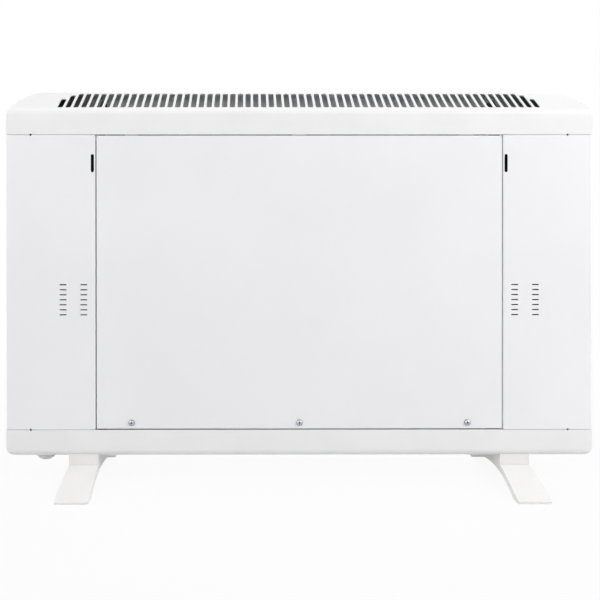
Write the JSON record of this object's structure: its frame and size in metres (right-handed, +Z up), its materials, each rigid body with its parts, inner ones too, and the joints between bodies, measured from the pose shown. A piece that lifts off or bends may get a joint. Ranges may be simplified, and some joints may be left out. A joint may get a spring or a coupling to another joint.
{
  "type": "convector heater",
  "caption": "Flat free-standing convector heater on two arched feet, with a sloped slotted outlet grille, a screwed back panel, hanging slots and vents.",
  "frame": {"origin": "on the floor, under the middle of the casing, midway between the soles of the two feet", "axes": "+X along the heater towards the end with the cable gland and the power switch, +Y from the front to the back, +Z up"},
  "size_m": [0.85, 0.242, 0.579],
  "materials": {
    "white_plastic": "satin moulded",
    "white_paint": "satin powder coat",
    "foot_plastic": "satin moulded",
    "white_glass": "polished, opaque white backed glass",
    "dark_glass": "polished, opaque",
    "black_plastic": "fine texture",
    "black_paint": "matt, heat resistant",
    "galvanised_sheet": "zinc coated",
    "element_aluminium": "mill finish",
    "blue_zinc": "blue passivated zinc",
    "zinc": "bright zinc plated",
    "ceramic": "unglazed",
    "circuit_board": "solder resist",
    "pendulum_brass": "turned"
  },
  "bodies": {
    "casing": {"top_cap": "white_plastic", "bottom_cap": "white_plastic", "gland_nut": "white_plastic", "sensor_clip": "white_plastic", "end_shell_left": "white_paint", "end_shell_right": "white_paint", "rear_panel": "white_paint", "foot_left": "foot_plastic", "foot_right": "foot_plastic", "front_glass": "white_glass", "display_window": "dark_glass", "display_tray": "black_plastic", "gland_body": "black_plastic", "switch_housing": "black_plastic", "tip_switch_housing": "black_plastic", "tip_switch_lid": "black_plastic", "relay_lower": "black_plastic", "relay_upper": "black_plastic", "thermal_cutout": "black_plastic", "room_sensor": "black_plastic", "board_transformer": "black_plastic", "front_frame": "galvanised_sheet", "heat_shield": "galvanised_sheet", "cutout_bracket": "galvanised_sheet", "chamber_plate_left": "black_paint", "chamber_plate_right": "black_paint", "heating_element_lower": "element_aluminium", "heating_element_upper": "element_aluminium", "board_capacitor": "element_aluminium", "rear_screw_left": "blue_zinc", "rear_screw_centre": "blue_zinc", "rear_screw_right": "blue_zinc", "foot_screw_left_front": "zinc", "foot_screw_left_rear": "zinc", "foot_screw_right_front": "zinc", "foot_screw_right_rear": "zinc", "element_terminal_lower_left": "zinc", "element_terminal_lower_right": "zinc", "element_terminal_upper_left": "zinc", "element_terminal_upper_right": "zinc", "tip_switch_axle": "zinc", "element_sleeve_lower_left": "ceramic", "element_sleeve_lower_right": "ceramic", "element_sleeve_upper_left": "ceramic", "element_sleeve_upper_right": "ceramic", "terminal_block": "ceramic", "control_board": "circuit_board", "display_board": "circuit_board"},
    "rocker": {"power_rocker": "black_plastic"},
    "pendulum": {"tip_switch_pendulum": "pendulum_brass"}
  },
  "joints": [
    {"name": "rocker_tilt", "type": "hinge", "parent": "casing", "child": "rocker", "pos_m": [0.4181, 0, 0.128], "axis": [0, 1, 0], "range_deg": [0, 18]},
    {"name": "pendulum_swing", "type": "hinge", "parent": "casing", "child": "pendulum", "pos_m": [-0.363, 0, 0.0818], "axis": [1, 0, 0], "range_deg": [-30, 30]}
  ]
}
